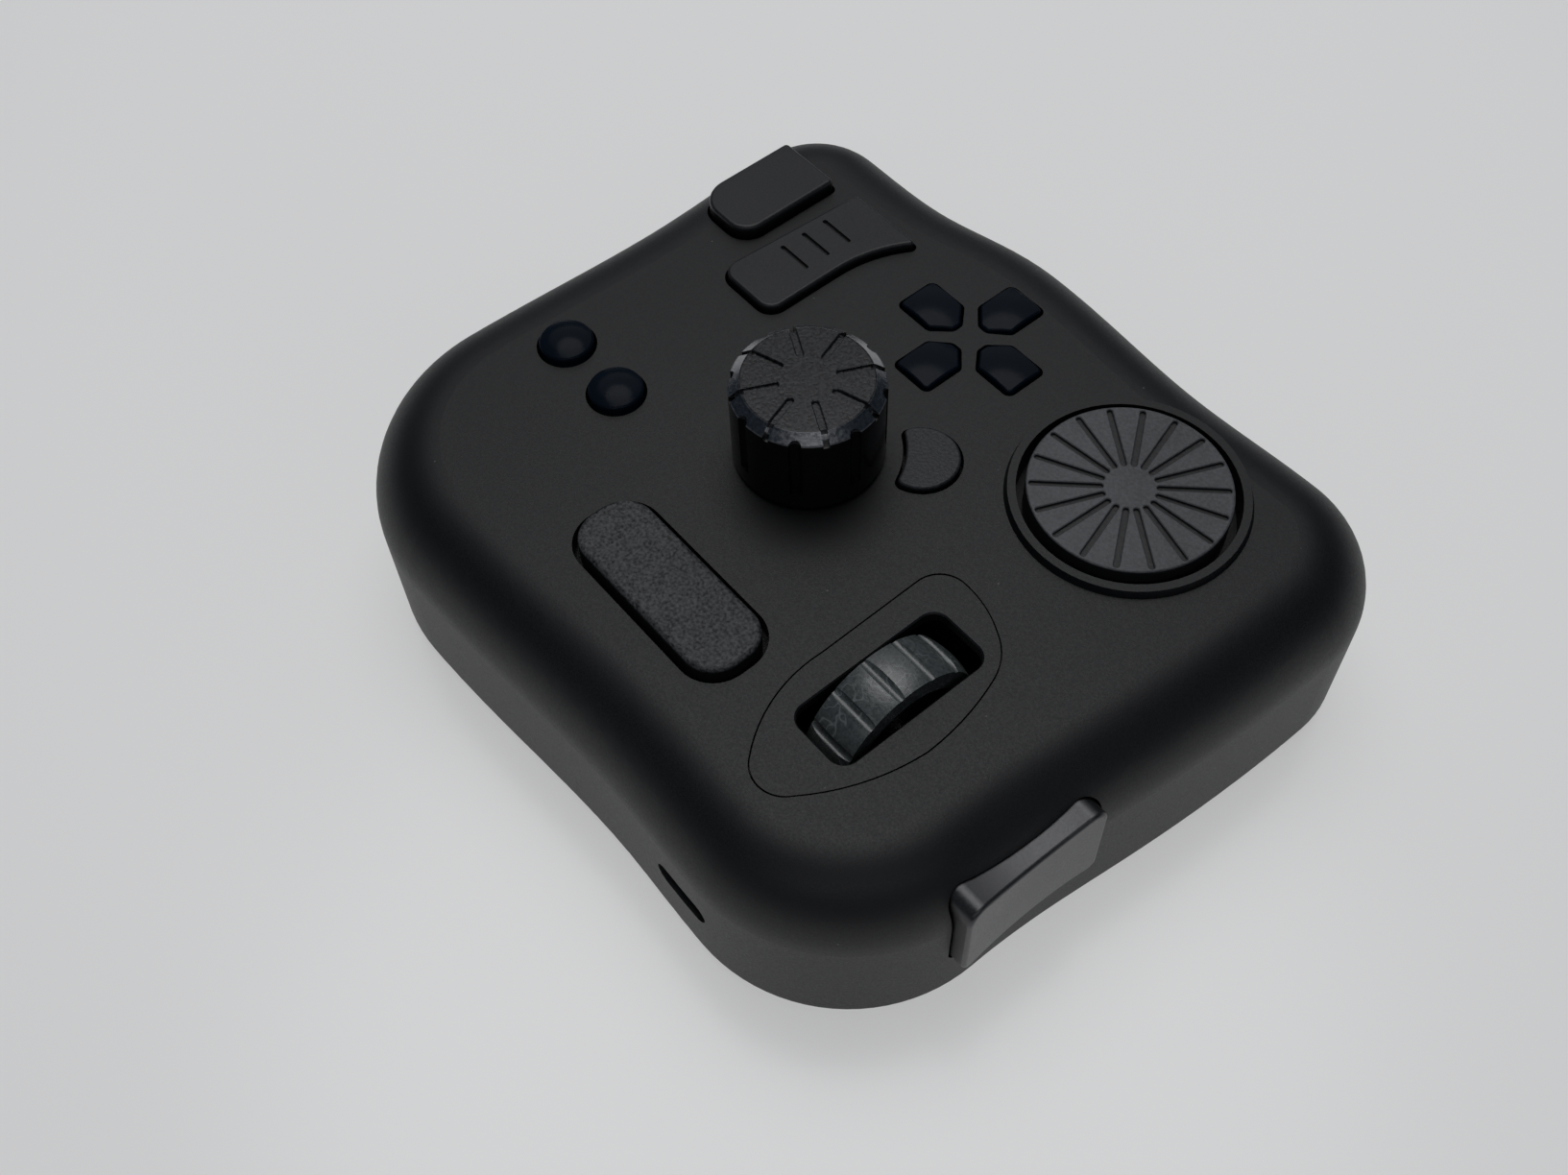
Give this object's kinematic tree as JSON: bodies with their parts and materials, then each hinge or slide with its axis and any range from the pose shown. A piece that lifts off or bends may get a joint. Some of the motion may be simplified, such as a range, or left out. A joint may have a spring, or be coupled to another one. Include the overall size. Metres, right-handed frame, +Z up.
{
  "type": "editing controller",
  "caption": "Desk controller with a press-and-turn knob, a flat grooved dial, a scroll wheel, a side paddle and sprung keys on a rounded, waisted black case.",
  "frame": {"origin": "on the table under the middle of the case, at the feet's undersides", "axes": "+X to the user's right, +Y away from the user towards the back wall with the socket, +Z up"},
  "size_m": [0.116, 0.101, 0.044],
  "materials": {
    "shell_black": "soft-touch matte",
    "cover_black": "fine grained matte",
    "foot_rubber": "matte rubber",
    "ballast_steel": "plain rolled steel",
    "screw_steel": "zinc plated",
    "shaft_steel": "ground",
    "board_black": "dark solder mask",
    "switch_black": "moulded",
    "plunger_grey": "moulded",
    "chip_black": "moulded",
    "socket_metal": "stamped, plated",
    "ribbon_amber": "flexible film",
    "key_grey": "fine grained satin",
    "pad_black": "satin gloss",
    "paddle_grey": "satin gunmetal",
    "knob_black": "satin",
    "dial_grey": "satin",
    "wheel_rubber": "worn satin rubber",
    "hub_black": "moulded",
    "cradle_black": "moulded"
  },
  "bodies": {
    "case": {"top_shell": "shell_black", "bottom_cover": "cover_black", "ballast_plate": "ballast_steel", "rubber_feet": "foot_rubber", "case_screws": "screw_steel", "scroll_inlay": "shell_black", "main_board": "board_black", "board_screws": "screw_steel", "usb_board": "board_black", "usb_socket": "socket_metal", "usb_ribbon": "ribbon_amber", "switch_housings": "switch_black", "side_board": "board_black", "side_switch": "switch_black", "knob_encoder": "switch_black", "dial_encoder": "switch_black", "scroll_switch": "switch_black", "controller_chip": "chip_black"},
    "knob_press": {"knob_slider": "plunger_grey"},
    "knob": {"knob": "knob_black", "knob_shaft": "shaft_steel"},
    "dial_press": {"dial_slider": "plunger_grey"},
    "dial": {"dial": "dial_grey", "dial_shaft": "shaft_steel"},
    "scroll_press": {"scroll_cradle": "cradle_black", "scroll_encoder": "switch_black", "scroll_plunger": "plunger_grey"},
    "scroll_wheel": {"scroll_hub": "hub_black", "scroll_tyre": "wheel_rubber", "scroll_axle": "shaft_steel"},
    "side_paddle": {"side_paddle": "paddle_grey", "paddle_plunger": "plunger_grey"},
    "pill_button": {"pill_button": "key_grey", "pill_plunger": "plunger_grey"},
    "half_round_button": {"half_round_button": "key_grey", "half_round_plunger": "plunger_grey"},
    "tall_button": {"tall_button": "key_grey", "tall_plunger": "plunger_grey"},
    "short_button": {"short_button": "key_grey", "short_plunger": "plunger_grey"},
    "round_1_button": {"round_1_button": "pad_black", "round_1_plunger": "plunger_grey"},
    "round_2_button": {"round_2_button": "pad_black", "round_2_plunger": "plunger_grey"},
    "pad_right_button": {"pad_right_button": "pad_black", "pad_right_plunger": "plunger_grey"},
    "pad_up_button": {"pad_up_button": "pad_black", "pad_up_plunger": "plunger_grey"},
    "pad_left_button": {"pad_left_button": "pad_black", "pad_left_plunger": "plunger_grey"},
    "pad_down_button": {"pad_down_button": "pad_black", "pad_down_plunger": "plunger_grey"}
  },
  "joints": [
    {"name": "knob_press", "type": "slide", "parent": "case", "child": "knob_press", "axis": [0, 0, -1], "range_m": [0, 0.0005], "stiffness_N_per_m": 2500, "springref_m": -0.0002},
    {"name": "knob_turn", "type": "hinge", "parent": "knob_press", "child": "knob", "pos_m": [0.0055, 0.0011, 0], "axis": [0, 0, 1], "continuous": true},
    {"name": "dial_press", "type": "slide", "parent": "case", "child": "dial_press", "axis": [0, 0, -1], "range_m": [0, 0.0005], "stiffness_N_per_m": 2500, "springref_m": -0.0002},
    {"name": "dial_turn", "type": "hinge", "parent": "dial_press", "child": "dial", "pos_m": [-0.0272, -0.025, 0], "axis": [0, 0, 1], "continuous": true},
    {"name": "scroll_press", "type": "slide", "parent": "case", "child": "scroll_press", "axis": [0, 0, -1], "range_m": [0, 0.0006], "stiffness_N_per_m": 2500, "springref_m": -0.0002},
    {"name": "scroll_turn", "type": "hinge", "parent": "scroll_press", "child": "scroll_wheel", "pos_m": [-0.0286, 0.0172, 0.0218], "axis": [1, 0, 0], "continuous": true},
    {"name": "side_paddle_press", "type": "slide", "parent": "case", "child": "side_paddle", "axis": [1, 0, 0], "range_m": [0, 0.0008], "stiffness_N_per_m": 1500, "springref_m": -0.0002},
    {"name": "pill_press", "type": "slide", "parent": "case", "child": "pill_button", "axis": [0, 0, -1], "range_m": [0, 0.0008], "stiffness_N_per_m": 1500, "springref_m": -0.0002},
    {"name": "half_round_press", "type": "slide", "parent": "case", "child": "half_round_button", "axis": [0, 0, -1], "range_m": [0, 0.0008], "stiffness_N_per_m": 1500, "springref_m": -0.0002},
    {"name": "tall_press", "type": "slide", "parent": "case", "child": "tall_button", "axis": [0, 0, -1], "range_m": [0, 0.0008], "stiffness_N_per_m": 1500, "springref_m": -0.0002},
    {"name": "short_press", "type": "slide", "parent": "case", "child": "short_button", "axis": [0, 0, -1], "range_m": [0, 0.0008], "stiffness_N_per_m": 1500, "springref_m": -0.0002},
    {"name": "round_1_press", "type": "slide", "parent": "case", "child": "round_1_button", "axis": [0, 0, -1], "range_m": [0, 0.0008], "stiffness_N_per_m": 1500, "springref_m": -0.0002},
    {"name": "round_2_press", "type": "slide", "parent": "case", "child": "round_2_button", "axis": [0, 0, -1], "range_m": [0, 0.0008], "stiffness_N_per_m": 1500, "springref_m": -0.0002},
    {"name": "pad_right_press", "type": "slide", "parent": "case", "child": "pad_right_button", "axis": [0, 0, -1], "range_m": [0, 0.0008], "stiffness_N_per_m": 1500, "springref_m": -0.0002},
    {"name": "pad_up_press", "type": "slide", "parent": "case", "child": "pad_up_button", "axis": [0, 0, -1], "range_m": [0, 0.0008], "stiffness_N_per_m": 1500, "springref_m": -0.0002},
    {"name": "pad_left_press", "type": "slide", "parent": "case", "child": "pad_left_button", "axis": [0, 0, -1], "range_m": [0, 0.0008], "stiffness_N_per_m": 1500, "springref_m": -0.0002},
    {"name": "pad_down_press", "type": "slide", "parent": "case", "child": "pad_down_button", "axis": [0, 0, -1], "range_m": [0, 0.0008], "stiffness_N_per_m": 1500, "springref_m": -0.0002}
  ]
}
